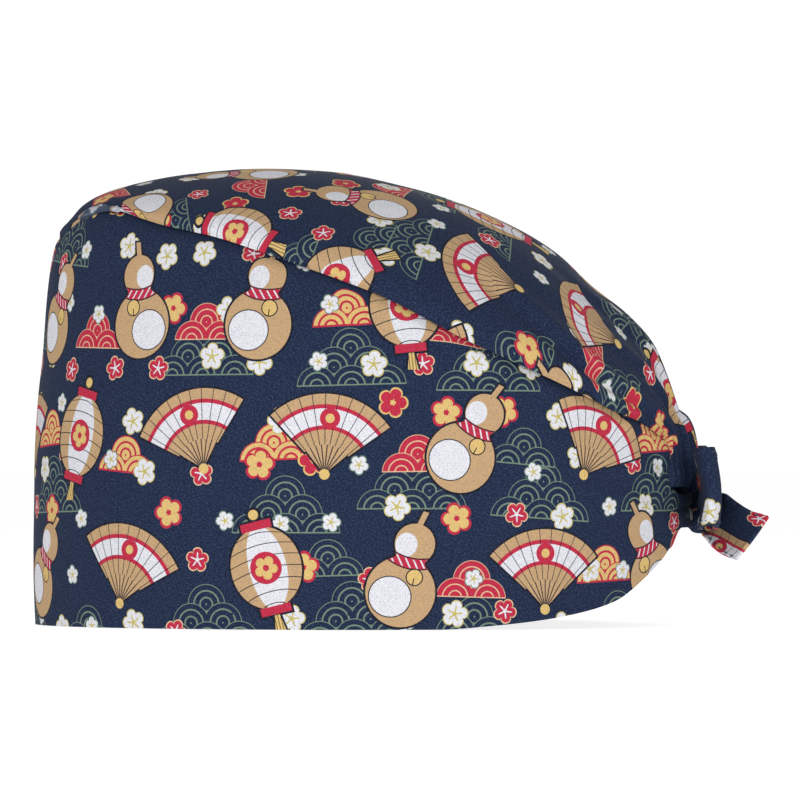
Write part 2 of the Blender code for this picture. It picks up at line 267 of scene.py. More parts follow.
NEAR_SIDE = -1.0
FAR_SIDE = 1.0
HALF_LENGTH = CAP_LENGTH / 2
HALF_WIDTH = CAP_WIDTH / 2
KNOT_MIDDLE_Z = CASING_BASE + CASING_HEIGHT / 2
FRONT_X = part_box("side_panel")[0].x

# Size of the lanterns, gourds and fans against the sizes in their own functions, and the
# cells that they and the waves stand in, in millimetres
MOTIF_SCALE = 1.13
MOTIF_CELL = (46.0, 42.0)

# Where each piece is cut from the print, as shifts of the print both ways in millimetres, and
# how far the print is lost on the cloth's wrong side
PANEL_PRINT = (4.0, 1.0)
CROWN_PRINT = (97.25, 89.0)
LOOP_PRINT = (63.6, 78.2)
TAIL_PRINT = (78.4, 162.9)
CASING_PRINT = (87.6, 173.0)
REVERSE_LOSS = 0.45

# Colours of the print, the thread and the weave's painted glint, as screen values from 0 to 255
INKS = {
    "navy": (27, 38, 62),
    "thread_blue_and_glint": (82, 95, 130),
    "tan": (198, 163, 118),
    "white": (228, 228, 234),
    "cream": (228, 192, 152),
    "red": (194, 40, 62),
    "gold": (224, 190, 116),
    "yellow": (200, 186, 100),
    "sage": (116, 138, 116),
    "black": (22, 20, 24),
    "reverse": (92, 100, 122),
}

# Kinds of wave cluster in each layer of the print. Columns: share of the cells that it
# takes, ground colour, line colour, half the width of its lines in millimetres.
SMALL_WAVES = (
    (0.45, "red", "cream", 0.20),
    (0.40, "gold", "red", 0.38),
    (0.15, "navy", "sage", 0.27),
)
LARGE_WAVES = (
    (1.00, "navy", "sage", 0.27),
)

# Layers of wave clusters. Columns: shift of the layer's cells both ways, seed, wander of a
# cluster both ways, share of the cells that hold one, drop of its baseline, mounds in each
# row, radius of a mound, kinds.
WAVE_LAYERS = (
    ((27.0, 16.0), 3.0, (9.0, 13.0), 0.68, 9.0, (3, 2, 1), 6.5, LARGE_WAVES),
    ((23.0, 2.0), 8.0, (12.0, 14.0), 0.92, 5.0, (2, 1), 6.2, SMALL_WAVES),
)

# Kinds of blossom. Columns: share of the cells, petal colour, edge colour, colour of the
# middle, radius and edge width in millimetres, length of the stamens as a share.
BLOSSOMS = (
    (0.24, "white", "yellow", "yellow", 4.5, 0.40, 0.44),
    (0.20, "white", "sage", "yellow", 3.3, 0.38, 0.38),
    (0.22, "red", "cream", "white", 4.1, 0.42, 0.46),
    (0.13, "gold", "red", "red", 5.3, 0.90, 0.05),
    (0.09, "red", "gold", "gold", 5.0, 0.60, 0.06),
    (0.12, "navy", "navy", "navy", 0.5, 0.10, 0.10),
)
BLOSSOM_CELL = (18.4, 16.8)
BLOSSOM_SHIFT = (3.0, 5.0)
BLOSSOM_WANDER = 7.0

# Length and width of the flecks that the cotton's threads make, in millimetres
FLECK_LENGTH = 0.55
FLECK_WIDTH = 0.36

# The camera: lens and sensor in millimetres, then how far it stands from the cap, behind the
# cap's front and above the floor, in metres
CAMERA_LENS = 411.7
CAMERA_SENSOR = 36.0
CAMERA_DISTANCE = 3.0
CAMERA_BACK = 0.12033
CAMERA_HEIGHT = 0.07335


def table_slope(rows, index, column):
    """Slope of one column at one row, flat at a peak so that the curve never overshoots."""
    def secant(first):
        rise = rows[first + 1][column] - rows[first][column]
        return rise / (rows[first + 1][0] - rows[first][0])

    if index == 0:
        return secant(0)
    if index == len(rows) - 1:
        return secant(index - 1)
    before, after = secant(index - 1), secant(index)
    if before * after <= 0:
        return 0.0
    return 2 * before * after / (before + after)


def read_table(rows, key):
    """The other columns of a table at one value of its first column, on smooth curves."""
    key = min(max(key, rows[0][0]), rows[-1][0])
    index = 0
    while index < len(rows) - 2 and key > rows[index + 1][0]:
        index += 1
    start, end = rows[index], rows[index + 1]
    span = end[0] - start[0]
    t = (key - start[0]) / span
    values = []
    for column in range(1, len(start)):
        leave = table_slope(rows, index, column) * span
        arrive = table_slope(rows, index + 1, column) * span
        values.append(
            (2 * t**3 - 3 * t**2 + 1) * start[column]
            + (t**3 - 2 * t**2 + t) * leave
            + (3 * t**2 - 2 * t**3) * end[column]
            + (t**3 - t**2) * arrive
        )
    return values


def steps(first, last, count):
    """Evenly spaced values from first to last."""
    return [first + (last - first) * index / count for index in range(count + 1)]


def bell(distance, width):
    """1 at distance nought, falling smoothly away over the width."""
    return math.exp(-(distance / width)**2)


def eased(way):
    """A way from 0 to 1 with a soft start and a soft end."""
    return way * way * (3 - 2 * way)


def lay_grid(rows, columns, place):
    """Points of a sheet and its flat cut: place gives both for each row and column."""
    corners = [[place(row, column) for column in columns] for row in rows]
    points = [[point for point, flat in row] for row in corners]
    cut = [[flat for point, flat in row] for row in corners]
    return points, cut


def hem_height(angle):
    """Height of the side panel's lower edge at an angle."""
    return read_table(HEM_LINE, abs(angle))[0] * CAP_HEIGHT


def seam_height(angle):
    """Height of the seam between side panel and crown at an angle."""
    return read_table(SEAM_LINE, abs(angle))[0] * CAP_HEIGHT


def wall_point(angle, height):
    """A point on the outer face of the upright wall."""
    lean, width = read_table(PANEL_SECTIONS, height / CAP_HEIGHT)
    turn = math.radians(angle)
    front_share = (1 + math.cos(turn)) / 2
    reach = HALF_LENGTH - lean * CAP_LENGTH * front_share
    s = HALF_LENGTH - reach * math.cos(turn)
    y = width * HALF_WIDTH * math.sin(turn)
    return Vector((s, y, height))


def outward(point):
    """Direction out of the cap at a point: level at the wall's foot, turning up to the top."""
    turn_height = TURN_START * CAP_HEIGHT
    rise = max(0.0, point.z - turn_height)
    slope = Vector((
        (point.x - HALF_LENGTH) / HALF_LENGTH**2,
        point.y / HALF_WIDTH**2,
        rise / (CAP_HEIGHT - turn_height)**2,
    ))
    return slope.normalized()


def puckers(along):
    """Uneven waves of the cloth along a seam, from -1 to 1, at a length along it."""
    fine = math.sin(along * 640 + 1.7 * math.sin(along * 95))
    broad = math.sin(along * 270 + 2.1 * math.sin(along * 41 + 0.6))
    return 0.45 * fine + 0.55 * broad


def slack(along, up):
    """Slow unevenness of hanging cotton, from -1 to 1."""
    wave = math.sin(along * 62 + 1.4 * math.sin(up * 48 + 0.5))
    cross = math.sin(up * 71 + 1.1 * math.sin(along * 37 + 1.9))
    return 0.5 * wave * cross + 0.5 * math.sin(along * 29 + up * 33 + 0.8)


def seam_relief(distance, along, dip_depth, dip_width, swell):
    """How far cloth stands out beside the seam, at a distance from it."""
    distance = max(distance, 0.0)
    dip = -dip_depth * bell(distance, dip_width)
    rise = swell * (distance / SWELL_REACH) * math.exp(1 - distance / SWELL_REACH)
    waves = PUCKER_DEPTH * puckers(along) * math.exp(-distance / PUCKER_REACH)
    return dip + rise + waves * min(1.0, distance / PUCKER_START)


def panel_fold_relief(angle, height):
    """Depth of the folds drawn towards the tie, at a place on the side panel."""
    relief = 0.0
    for start_angle, start_share, end_angle, end_share, depth, width in PANEL_FOLDS:
        way = (abs(angle) - start_angle) / (end_angle - start_angle)
        if way <= 0.0:
            continue
        way = min(way, 1.0)
        middle = (start_share + (end_share - start_share) * way) * CAP_HEIGHT
        offset = height - middle
        relief -= depth * way * bell(offset, width)
        relief += 0.5 * depth * way * bell(offset - 1.9 * width, 1.3 * width)
    return relief


def crown_fold_relief(angle, across):
    """Depth of the soft folds at a place on the crown."""
    relief = 0.0
    for start_angle, end_angle, start_across, end_across, depth, width in CROWN_FOLDS:
        way = (angle - start_angle) / (end_angle - start_angle)
        if not -0.3 < way < 1.3:
            continue
        middle = start_across + (end_across - start_across) * way
        fade = math.sin(math.pi * min(max((way + 0.3) / 1.6, 0.0), 1.0))
        offset = across - middle
        relief -= depth * fade * bell(offset, width)
        relief += 0.6 * depth * fade * bell(offset - 1.8 * width, 1.2 * width)
    return relief


def length_along(points):
    """Running length at each point of a line of points."""
    lengths = [0.0]
    for before, after in zip(points, points[1:]):
        lengths.append(lengths[-1] + (after - before).length)
    return lengths


def seam_depth(angle):
    """Share of the seam's full relief at an angle: the seam lies flat across the front."""
    first, last = SEAM_DEEPENS
    way = min(max((abs(angle) - first) / (last - first), 0.0), 1.0)
    return FRONT_SEAM_SHARE + (1 - FRONT_SEAM_SHARE) * eased(way)


def panel_relief(angle, height, high, along):
    """How far the side panel's cloth stands out from its even shape."""
    dip = PANEL_DIP * seam_depth(angle)
    relief = seam_relief((high - height) * 1.1, along, dip, PANEL_DIP_WIDTH, 0.0)
    relief += panel_fold_relief(angle, height)
    return relief + PANEL_SLACK * slack(along, height) * min(1.0, height / 0.02)


def panel_girth(angles):
    """Running length round the side panel at each angle."""
    return length_along([wall_point(angle, GIRTH_HEIGHT * CAP_HEIGHT) for angle in angles])


def side_panel_sheet(columns, rows):
    """Outer face of the side panel with its flat cut."""
    angles = steps(-PANEL_END, PANEL_END, columns)
    girth = panel_girth(angles)

    def place(share, column):
        angle, along = column
        low, high = hem_height(angle), seam_height(angle)
        height = low + (high + SEAM_LAP * seam_depth(angle) - low) * share
        point = wall_point(angle, height)
        point += outward(point) * panel_relief(angle, height, high, along)
        return point, (along - girth[-1] / 2, height)

    return lay_grid(steps(0.0, 1.0, rows), list(zip(angles, girth)), place)


def crown_arc(end, middle, across):
    """A point on a crown row: across runs from -1 at the near seam to 1 at the far seam."""
    turn = across * math.pi / 2
    rise = (math.cos(turn) + math.cos(turn)**2) / 2
    s = end.x + (middle.x - end.x) * rise
    z = end.z + (middle.z - end.z) * rise
    return Vector((s, abs(end.y) * math.sin(turn), z))


def front_edge_offset(across):
    """How far the crown's straight front edge lies from the arc through its two corners."""
    angle = CROWN_CORNER * across
    edge = wall_point(angle, seam_height(angle))
    corner = wall_point(CROWN_CORNER, seam_height(CROWN_CORNER))
    middle = wall_point(0.0, seam_height(0.0))
    return edge - crown_arc(corner, middle, across)


def gathers(across, depth, count, wander=0.0):
    """Depth of even gathers at a place across the gathered back, fading out at its ends."""
    if abs(across) >= 1:
        return 0.0
    fade = math.cos(across * math.pi / 2)**0.5
    return depth * fade * math.cos(across * math.pi * count + wander)


def pleat(across, strength):
    """The main gathers."""
    return gathers(across, PLEAT_DEPTH * strength, PLEAT_COUNT)


def fine_pleat(across, strength):
    """Finer gathers between the main ones."""
    wander = 1.3 * math.sin(across * 7.0 + 0.4)
    return gathers(across, FINE_PLEAT_DEPTH * strength, FINE_PLEAT_COUNT, wander)


def crown_row_ends(rear_rows, top_rows):
    """End, middle, weight of the straight front, gather and angle of every row of the crown."""
    casing_top = CASING_BASE + CASING_HEIGHT
    ends = []
    for angle in steps(CROWN_CORNER, PANEL_END, top_rows):
        s_share, z_share = read_table(CROWN_LINE, angle)
        end = wall_point(angle, seam_height(angle))
        middle = Vector((s_share * CAP_LENGTH, 0.0, z_share * CAP_HEIGHT))
        front_weight = max(0.0, 1 - (angle - CROWN_CORNER) / FRONT_EDGE_REACH)**2
        gather = max(0.0, (angle - GATHER_START) / (PANEL_END - GATHER_START))**2
        ends.append((end, middle, front_weight, SEAM_GATHER * gather, angle))
    for share in steps(0.0, 1.0, rear_rows)[1:]:
        s_share, z_share = read_table(PUFF_LINE, share)
        top = seam_height(PANEL_END)
        end = wall_point(PANEL_END, top + (casing_top + SEAM_GAP - top) * share)
        middle = Vector((s_share * CAP_LENGTH, 0.0, z_share * CAP_HEIGHT))
        middle.z += (end.z - middle.z) * max(0.0, share - 0.85) / 0.15
        middle.x += PUFF_SWELL * bell(share - 0.86, 0.13)
        gather = SEAM_GATHER + (1 - SEAM_GATHER) * share
        ends.append((end, middle, 0.0, gather, PANEL_END + 12 * share))
    return ends


def crown_sheet(columns, top_rows, rear_rows):
    """Outer face of the crown with its flat cut, whose pattern's top points to the front."""
    quarter = math.pi / 2
    acrosses = [math.sin(turn) * 0.35 + turn / quarter * 0.65
                for turn in steps(-quarter, quarter, columns)]
    ends = crown_row_ends(rear_rows, top_rows)
    smooth = []
    for end, middle, front_weight, gather, angle in ends:
        smooth.append([
            crown_arc(end, middle, across) + front_edge_offset(across) * front_weight
            for across in acrosses
        ])
    back = length_along([row[columns // 2] for row in smooth])
    seam_run = length_along([row[0] for row in smooth])
    widths = [length_along(row) for row in smooth]

    def place(index, column):
        front_weight, gather, angle = ends[index][2:]
        across, width, full_width = acrosses[column], widths[index][column], widths[index][-1]
        from_seam = min(width, full_width - width)
        if front_weight > 0:
            from_seam = min(from_seam, back[index] * (1 + 6 * (1 - front_weight)))
        relief = seam_relief(
            from_seam, seam_run[index] + 0.2 * (across > 0),
            CROWN_DIP, CROWN_DIP_WIDTH, CROWN_SWELL * (1 - 0.9 * front_weight))
        relief += pleat(across, gather) + fine_pleat(across, gather)
        relief += crown_fold_relief(angle, across)
        crease = bell(back[index] - CREASE_PLACE, CREASE_WIDTH) * bell(abs(across) - 0.75, 0.35)
        relief -= CREASE_DEPTH * front_weight * crease
        unevenness = slack(width + 0.3, back[index]) * min(1.0, from_seam / 0.01)
        relief += CROWN_SLACK * unevenness
        point = smooth[index][column]
        return point + outward(point) * relief, (full_width / 2 - width, -back[index])

    return lay_grid(range(len(smooth)), range(columns + 1), place)


def casing_sheet(columns, rows):
    """Outer face of the gathered casing with its flat cut."""
    def place(share, angle):
        height = CASING_BASE + (CASING_HEIGHT + CASING_TUCK) * share
        across = (angle - 180) / (180 - CASING_END)
        depth = PLEAT_DEPTH - pleat(across, CASING_GATHER)
        depth -= 0.8 * fine_pleat(across, CASING_GATHER)
        depth += HEM_RIDGE * (bell(share, 0.12) + bell(1 - share, 0.12))
        point = wall_point(angle, height)
        depth -= (depth + 0.0006) * bell(point.y, 0.0085)
        point -= outward(point) * (TIE_WALL + SEAM_GAP + depth)
        return point, (across * 0.050, height - CASING_BASE + 0.011)

    return lay_grid(steps(0.0, 1.0, rows), steps(CASING_END, 360 - CASING_END, columns), place)


def tie_sheet(side, columns, rows):
    """Outer face of a tie, from its root on the side panel to the knot. Its cut goes on from
    the side panel's, so that the print runs through."""
    knot_angle = 180 - math.degrees(math.asin((KNOT_WIDTH / 2 + BOW_CLEARANCE) / HALF_WIDTH))
    root_low = hem_height(PANEL_END)
    root_high = CASING_BASE + CASING_HEIGHT - SEAM_GAP
    girth = panel_girth(steps(-PANEL_END, PANEL_END, PANEL_COLUMNS))[-1]
    angles = steps(PANEL_END + 0.03, knot_angle, columns)
    run = length_along([wall_point(angle, CASING_BASE) for angle in angles])

    def place(share, column):
        angle, along = column
        drawn = eased(min(1.0, (angle - PANEL_END) / (LOBE_END - PANEL_END)))
        root = root_low + (root_high - root_low) * share
        low = root_low + (CASING_BASE - root_low) * drawn
        high = root_high - TIE_DRAW * CASING_HEIGHT * drawn
        height = low + (high - low) * share
        point = wall_point(side * angle, height)
        at_root = panel_relief(side * PANEL_END, height, seam_height(PANEL_END), 0.0)
        crease = bell(share - 0.45 - 0.15 * drawn, 0.10)
        pinch = 0.3 * puckers(along * 1.3 + share * 0.01)
        relief = at_root * (1 - drawn)
        relief -= (0.0006 * crease + 0.0004 * (1 + pinch)) * drawn
        flat = (side * (girth / 2 + along), (root + height) / 2)
        return point + outward(point) * relief, flat

    return lay_grid(steps(0.0, 1.0, rows), list(zip(angles, run)), place)


def knot_middle():
    """Middle of the knot, just behind the casing."""
    casing_back = CAP_LENGTH - TIE_WALL
    return Vector((casing_back + BOW_CLEARANCE + KNOT_DEPTH / 2, 0.0, KNOT_MIDDLE_Z))


def loop_sheet(side, rows, columns):
    """Middle surface of a bow loop, out from the knot, round its end and back."""
    ways = steps(0.0, 1.0, rows)
    stations = [read_table(LOOP_PATH, way) for way in ways]
    middles = []
    for station in stations:
        out, back, rise = station[:3]
        middles.append(knot_middle() + Vector((
            back * LOOP_DEPTH,
            side * (KNOT_WIDTH / 2 + BOW_CLEARANCE + out * LOOP_REACH),
            rise * RIBBON_WIDTH,
        )))
    runs = length_along(middles)

    def place(row, share):
        way, run = ways[row], runs[row]
        height, lean = stations[row][3:]
        tilt = math.radians(lean)
        up = Vector((-math.sin(tilt), 0.0, math.cos(tilt))) * height * RIBBON_WIDTH
        tight = (1 - height) / 0.52
        fold = math.cos(share * math.pi * 5 + 0.6 * side) * 0.0007 * tight
        ripple = 0.00025 * math.sin(run * 210 + share * 4.0)
        point = middles[row] + up * share
        point.x += math.copysign(1.0, way - 0.5) * (fold + ripple * (1 - tight))
        point.x += LOOP_DENT * bell(way - 0.36, 0.13) * bell(share + 0.12, 0.34)
        point.x += (LOOP_CUP * (1 - 4 * share**2) - LOOP_EDGES_FORWARD) * (1 - tight)
        return point, (run, share * RIBBON_WIDTH)

    return lay_grid(range(rows + 1), steps(-0.5, 0.5, columns), place)


def tail_hollow(share):
    """How hollow a tail is across its ribbon: a soft crease nearer its lower edge."""
    crease = -0.14
    reach = 0.5 - crease if share > crease else 0.5 + crease
    return 1 - (abs(share - crease) / reach)**1.45


def tail_sheet(side, rows, columns):
    """Middle surface of a tie's free end, from under the knot out, back and down."""
    base = knot_middle()
    base.z -= KNOT_HEIGHT / 2 + BOW_CLEARANCE + RIBBON_WALL / 2
    ways = steps(0.0, 1.0, rows)
    stations = [read_table(TAIL_PATH, way) for way in ways]
    lower_edge = []
    for station in stations:
        out, back, rise = station[:3]
        lower_edge.append(base + Vector((back, side * out, rise)) * TAIL_LENGTH)
    runs = length_along(lower_edge)

    def place(row, share):
        way, run = ways[row], runs[row]
        height, tilt_back, tilt_out, hollow = stations[row][3:]
        lean, sway = math.radians(tilt_back), math.radians(tilt_out)
        up = Vector((
            math.sin(lean),
            side * math.sin(sway) * math.cos(lean),
            math.cos(sway) * math.cos(lean),
        ))
        up *= height * RIBBON_WIDTH
        below = Vector((math.cos(lean), 0.0, -math.sin(lean)))
        bow = hollow * RIBBON_WIDTH * tail_hollow(share)
        bow += 0.0003 * math.sin(run * 260 + share * 5.0) * way
        hang = below * (1 - way**3) + Vector((0.0, side * 0.9, 0.0)) * way**3
        return lower_edge[row] + up * (share + 0.5) + hang * bow, (run, share * RIBBON_WIDTH)

    return lay_grid(range(rows + 1), steps(-0.5, 0.5, columns), place)


def select_only(piece):
    """Makes a piece the only selected and the active one."""
    for item in bpy.context.selected_objects:
        item.select_set(False)
    piece.select_set(True)
    bpy.context.view_layer.objects.active = piece


def apply_modifier(piece, modifier):
    """Applies one modifier to a piece."""
    select_only(piece)
    bpy.ops.object.modifier_apply(modifier=modifier.name)


def to_frame(point):
    """Moves a place on the cap to its place in the frame."""
    return Vector((point.x + FRONT_X, point.y, point.z))


def finish_mesh(data, name, materials):
    """Makes a piece of the scene from the mesh that was being built."""
    mesh = bpy.data.meshes.new(name)
    data.to_mesh(mesh)
    data.free()
    for material in materials:
        mesh.materials.append(material)
    piece = bpy.data.objects.new(name, mesh)
    bpy.context.scene.collection.objects.link(piece)
    return piece


def sheet_mesh(name, points, cut, facing, materials):
    """An open sheet through a grid of points, with its flat cut as its UV map. facing is a
    function that gives the direction its outer face looks at a point."""
    data = bmesh.new()
    layer = data.loops.layers.uv.new("cut")
    verts = [[data.verts.new(to_frame(point)) for point in row] for row in points]
    for i in range(len(points) - 1):
        for j in range(len(points[0]) - 1):
            corners = ((i, j), (i, j + 1), (i + 1, j + 1), (i + 1, j))
            face = data.faces.new([verts[k][m] for k, m in corners])
            for loop, (k, m) in zip(face.loops, corners):
                loop[layer].uv = cut[k][m]
            face.smooth = True
    data.normal_update()
    middle_row, middle_column = len(points) // 2, len(points[0]) // 2
    sample = verts[middle_row][middle_column]
    if sample.normal.dot(facing(points[middle_row][middle_column])) < 0:
        bmesh.ops.reverse_faces(data, faces=data.faces)
    return finish_mesh(data, name, materials)


def cut_size(cut):
    """Width, length and area of a flat cut."""
    flat_points = [corner for row in cut for corner in row]
    width = max(p[0] for p in flat_points) - min(p[0] for p in flat_points)
    length = max(p[1] for p in flat_points) - min(p[1] for p in flat_points)
    area = 0.0
    for row, above in zip(cut, cut[1:]):
        for j in range(len(row) - 1):
            a, b, c, d = row[j], row[j + 1], above[j + 1], above[j]
            area += abs((c[0] - a[0]) * (d[1] - b[1]) - (d[0] - b[0]) * (c[1] - a[1])) / 2
    return (width, length), area


def give_wall(piece, wall, offset, rounding):
    """Gives a sheet its thickness and softens its edges."""
    solidify = piece.modifiers.new("wall", "SOLIDIFY")
    solidify.thickness = wall
    solidify.offset = offset
    solidify.use_even_offset = False
    solidify.use_quality_normals = True
    solidify.material_offset = 1
    apply_modifier(piece, solidify)
    if rounding:
        bevel = piece.modifiers.new("soft_edges", "BEVEL")
        bevel.width = rounding
        bevel.segments = 2
        bevel.limit_method = "ANGLE"
        bevel.angle_limit = math.radians(60)
        apply_modifier(piece, bevel)
    select_only(piece)
    bpy.ops.object.shade_smooth_by_angle(angle=math.radians(50))


class Value:
    """A number that a material's nodes work out for each point of the cloth."""

    def __init__(self, tree, socket):
        self.tree = tree
        self.socket = socket

    def work(self, operation, *others, clamp=False):
        """The outcome of one operation on this number and others."""
        return calculate(self.tree, operation, self, *others, clamp=clamp)

    def __add__(self, other):
        return self.work("ADD", other)

    def __sub__(self, other):
        return self.work("SUBTRACT", other)

    def __rsub__(self, other):
        return calculate(self.tree, "SUBTRACT", other, self)

    def __mul__(self, other):
        return self.work("MULTIPLY", other)

    def __truediv__(self, other):
        return self.work("DIVIDE", other)

    def size(self):
        """The number without its sign."""
        return self.work("ABSOLUTE")

    def from_repeat(self, spacing):
        """Distance from the nearest of evenly spaced places."""
        share = self / spacing
        return (share - share.work("ROUND")).size() * spacing


def feed(tree, sockets, values):
    """Gives sockets their values: what nodes work out is linked, and plain values are set."""
    for socket, value in zip(sockets, values):
        if isinstance(value, Value):
            value = value.socket
        if isinstance(value, bpy.types.NodeSocket):
            tree.links.new(value, socket)
        else:
            socket.default_value = value


def calculate(tree, operation, *values, clamp=False):
    """One Math node."""
    node = tree.nodes.new("ShaderNodeMath")
    node.operation = operation
    node.use_clamp = clamp
    feed(tree, node.inputs, values)
    return Value(tree, node.outputs[0])


def inside(distance, blur=0.12):
    """1 where a signed distance in millimetres is below nought, with a soft edge."""
    return distance.work("MULTIPLY_ADD", -1.0 / blur, 0.5, clamp=True)


def far_from(x, y):
    """Distance from the origin of x and y."""
    return (x * x).work("ADD", y * y).work("SQRT")


def ink(name):
    """A colour of the table in linear light."""
    def linear(value):
        share = value / 255
        return share / 12.92 if share <= 0.04045 else ((share + 0.055) / 1.055)**2.4
    return tuple(linear(value) for value in INKS[name]) + (1.0,)


def paint(below, colour, mask):
    """Lays a colour over another where the mask is 1."""
    tree = mask.tree
    node = tree.nodes.new("ShaderNodeMix")
    node.data_type = "RGBA"
    feed(tree, (node.inputs[0], node.inputs[6], node.inputs[7]), (mask, below, colour))
    return node.outputs[2]


def paint_shapes(cloth, shown, *shapes):
    """Lays flat shapes over one another, each with the name of its colour and its mask."""
    for name, mask in shapes:
        cloth = paint(cloth, ink(name), mask * shown)
    return cloth


def choose(chance, shares, colours):
    """Takes one of several colours, each for its share of the chances."""
    tree = chance.tree
    node = tree.nodes.new("ShaderNodeValToRGB")
    ramp = node.color_ramp
    ramp.interpolation = "CONSTANT"
    tree.links.new(chance.socket, node.inputs[0])
    start = 0.0
    for index, (share, colour) in enumerate(zip(shares, colours)):
        if index < 2:
            element = ramp.elements[index]
            element.position = start
        else:
            element = ramp.elements.new(start)
        element.color = colour
        start += share
    if len(colours) == 1:
        ramp.elements[1].color = colours[0]
    return node.outputs[0]


def choose_number(chance, shares, numbers):
    """Takes one of several numbers, each for its share of the chances."""
    largest = max(numbers)
    greys = [(number / largest,) * 3 + (1.0,) for number in numbers]
    return Value(chance.tree, choose(chance, shares, greys)) * largest


def turned(x, y, angle):
    """x and y turned by an angle in radians."""
    cosine, sine = angle.work("COSINE"), angle.work("SINE")
    return x * cosine + y * sine, y * cosine - x * sine


def joined(tree, *values):
    """One vector socket from two or three numbers."""
    node = tree.nodes.new("ShaderNodeCombineXYZ")
    feed(tree, node.inputs, values)
    return node.outputs[0]


def cell(x, y, width, height, seed):
    """Place within the cell of a brick lattice, and three chances that belong to that cell."""
    tree = x.tree
    row = (y / height).work("FLOOR")
    across = x + row.work("FLOORED_MODULO", 2.0) * (width / 2)
    column = (across / width).work("FLOOR")
    noise = tree.nodes.new("ShaderNodeTexWhiteNoise")
    noise.noise_dimensions = "3D"
    tree.links.new(joined(tree, column, row, seed), noise.inputs["Vector"])
    split = tree.nodes.new("ShaderNodeSeparateColor")
    tree.links.new(noise.outputs["Color"], split.inputs[0])
    chances = [Value(tree, socket) for socket in split.outputs]
    here_x = across - (column + 0.5) * width
    here_y = y - (row + 0.5) * height
    return here_x, here_y, chances


def wave_row(x, count, spacing):
    """Distance sideways from the nearest mound in a row of one, two or three."""
    if count == 1:
        return x
    if count == 2:
        return x.size() - spacing / 2
    nearest = (x / spacing).work("ROUND").work("MAXIMUM", -1.0).work("MINIMUM", 1.0)
    return x - nearest * spacing


def paint_waves(cloth, x, y, counts, radius, kinds, chance, shown):
    """A cluster of wave scales on a flat baseline, each with rings inside it."""
    shares = [kind[0] for kind in kinds]
    half_line = choose_number(chance, shares, [kind[3] for kind in kinds])
    spacing = radius * 1.72
    cover, lines = None, None
    for level in range(len(counts) - 1, -1, -1):
        sideways = wave_row(x, counts[level], spacing)
        reach = far_from(sideways, y - level * radius * 0.92)
        within = inside(reach - radius)
        line = inside(reach.from_repeat(radius / 3) - half_line)
        if cover is None:
            cover, lines = within, line
        else:
            lines = lines + (line - lines) * within
            cover = cover.work("MAXIMUM", within)
    cover = cover * inside(y * -1.0) * shown
    lines = lines.work("MAXIMUM", inside(y - half_line * 1.6))
    ground = choose(chance, shares, [ink(kind[1]) for kind in kinds])
    stroke = choose(chance, shares, [ink(kind[2]) for kind in kinds])
    return paint(cloth, paint(ground, stroke, lines), cover)


def paint_blossoms(cloth, x, y, kinds, chances, wander):
    """A five-petalled blossom in each cell."""
    kind, first, second = chances
    shares = [row[0] for row in kinds]
    radius, edge, stamens = [
        choose_number(kind, shares, [row[column] for row in kinds]) for column in (4, 5, 6)]
    petals, rims, middles = [
        choose(kind, shares, [ink(row[column]) for row in kinds]) for column in (1, 2, 3)]
    x = x + (first - 0.5) * wander
    y = y + (second - 0.5) * wander
    reach = far_from(x, y)
    turn = y.work("ARCTAN2", x) + first * math.tau
    petal = (turn * 2.5).work("COSINE").size()
    outline = radius * (petal.work("SQRT") * 0.36 + 0.64)
    distance = reach - outline
    cloth = paint(cloth, rims, inside(distance))
    cloth = paint(cloth, petals, inside(distance + edge))
    spoke = petal.work("POWER", 9.0) * stamens + 0.16
    return paint(cloth, middles, inside(reach - radius * spoke))


def paint_lantern(cloth, x, y, shown):
    """A paper lantern with two caps, curved ribs, a blossom on its paper and a tassel."""
    half_width, half_height = 10.6, 12.0
    body = (far_from(x / half_width, y / half_height) - 1.0) * half_width
    caps = (x.size() - 4.8).work("MAXIMUM", (y.size() - 12.2).size() - 1.5)
    knob = far_from(x, y - 15.4) - 1.9
    below = y * -1.0 - 16.6
    tassel = (x.size() - 1.5 - below * 0.16).work("MAXIMUM", below.size() - 3.2)
    whole = body.work("MINIMUM", caps).work("MINIMUM", knob).work("MINIMUM", tassel)
    round_share = 1.0 - (y / half_height).work("POWER", 2.0)
    across = x / (round_share.work("MAXIMUM", 0.02).work("SQRT") * half_width)
    panel = inside(((across - 0.05).size() - 0.52) * 10.0)
    rib = (y + across * across * 1.6).from_repeat(3.4)
    centre = far_from(x, y)
    turn = y.work("ARCTAN2", x) + 0.31
    petal = (turn * 2.5).work("COSINE").size().work("SQRT") * 1.5 + 1.9
    within = inside(body + 0.30)
    cloth = paint_shapes(
        cloth, shown,
        ("black", inside(whole - 0.35)),
        ("tan", within),
        ("white", panel * within),
        ("black", inside(rib - 0.13) * within),
        ("red", inside(centre - 4.6)),
        ("gold", inside(centre - petal)),
        ("red", inside(centre - 0.9)),
        ("red", inside(caps + 0.30)),
        ("gold", inside(knob + 0.45)),
    )
    thread = paint(ink("gold"), ink("black"), inside(x.from_repeat(0.9) - 0.10))
    return paint(cloth, thread, inside(tassel + 0.25) * shown)


